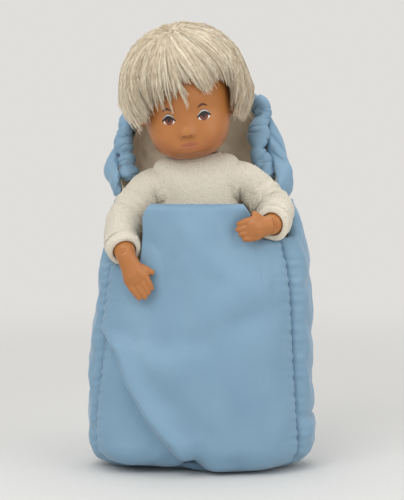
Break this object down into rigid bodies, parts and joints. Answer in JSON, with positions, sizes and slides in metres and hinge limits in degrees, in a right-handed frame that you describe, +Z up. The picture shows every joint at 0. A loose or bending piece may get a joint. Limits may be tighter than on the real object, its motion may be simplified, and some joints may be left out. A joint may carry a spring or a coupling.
{
  "type": "play doll in sleeping bag",
  "caption": "Vinyl baby doll with strung head, arms and legs and rooted hair, in a terry sleepsuit, upright in a padded sleeping bag with a gathered hood.",
  "frame": {"origin": "centre of the bag's flat base, on the surface it stands on", "axes": "+Z up along the standing bag, the doll faces -Y, +X to the doll's left"},
  "size_m": [0.1552, 0.1119, 0.3074],
  "materials": {
    "skin_vinyl": "tan rotation-moulded vinyl, soft satin",
    "rooted_hair": "straight blonde synthetic fibre, rooted",
    "terry": "ivory knitted terry with a short pile",
    "satin_cotton": "light blue sateen cotton over wadding",
    "lining": "beige crinkled cotton",
    "elastic": "covered round elastic",
    "hook_steel": "plated steel wire"
  },
  "bodies": {
    "bag": {"bag_front_panel": "satin_cotton", "bag_back_panel": "satin_cotton", "bag_left_gusset": "satin_cotton", "bag_right_gusset": "satin_cotton", "bag_base": "satin_cotton", "bag_lining": "lining", "hood": "satin_cotton", "hood_lining": "lining", "hood_casing": "satin_cotton", "hood_elastic": "elastic"},
    "doll": {"torso": "skin_vinyl", "sleepsuit_body": "terry", "sleepsuit_collar": "terry", "arm_elastic": "elastic", "neck_to_leg_elastic": "elastic"},
    "neck": {"neck_hook": "hook_steel"},
    "head": {"head": "skin_vinyl", "hair": "rooted_hair"},
    "right_arm": {"right_arm": "skin_vinyl", "right_arm_hook": "hook_steel", "right_sleeve": "terry", "right_cuff": "terry"},
    "left_arm": {"left_arm": "skin_vinyl", "left_arm_hook": "hook_steel", "left_sleeve": "terry", "left_cuff": "terry"},
    "right_leg": {"right_leg": "skin_vinyl", "right_leg_hook": "hook_steel", "right_suit_leg": "terry"},
    "left_leg": {"left_leg": "skin_vinyl", "left_leg_hook": "hook_steel", "left_suit_leg": "terry"}
  },
  "joints": [
    {"name": "doll_lift", "type": "slide", "parent": "bag", "child": "doll", "axis": [0, 0, 1], "range_m": [0, 0.265]},
    {"name": "head_nod", "type": "hinge", "parent": "doll", "child": "neck", "pos_m": [-0.00428, 0.003, 0.21045], "axis": [0.9972, 0, 0.075], "range_deg": [-8, 4]},
    {"name": "head_turn", "type": "hinge", "parent": "neck", "child": "head", "pos_m": [-0.00428, 0.003, 0.21045], "axis": [-0.1456, -0.1737, 0.974], "range_deg": [-60, 60]},
    {"name": "right_shoulder", "type": "hinge", "parent": "doll", "child": "right_arm", "pos_m": [-0.003, -0.002, 0.1935], "axis": [-0.9972, 0, -0.075], "range_deg": [0, 90]},
    {"name": "left_shoulder", "type": "hinge", "parent": "doll", "child": "left_arm", "pos_m": [-0.003, -0.002, 0.1935], "axis": [-0.9972, 0, -0.075], "range_deg": [0, 50]},
    {"name": "right_hip", "type": "hinge", "parent": "doll", "child": "right_leg", "pos_m": [0.00285, -0.002, 0.11572], "axis": [-0.9972, 0, -0.075], "range_deg": [-6, 2]},
    {"name": "left_hip", "type": "hinge", "parent": "doll", "child": "left_leg", "pos_m": [0.00285, -0.002, 0.11572], "axis": [-0.9972, 0, -0.075], "range_deg": [-6, 2]}
  ]
}
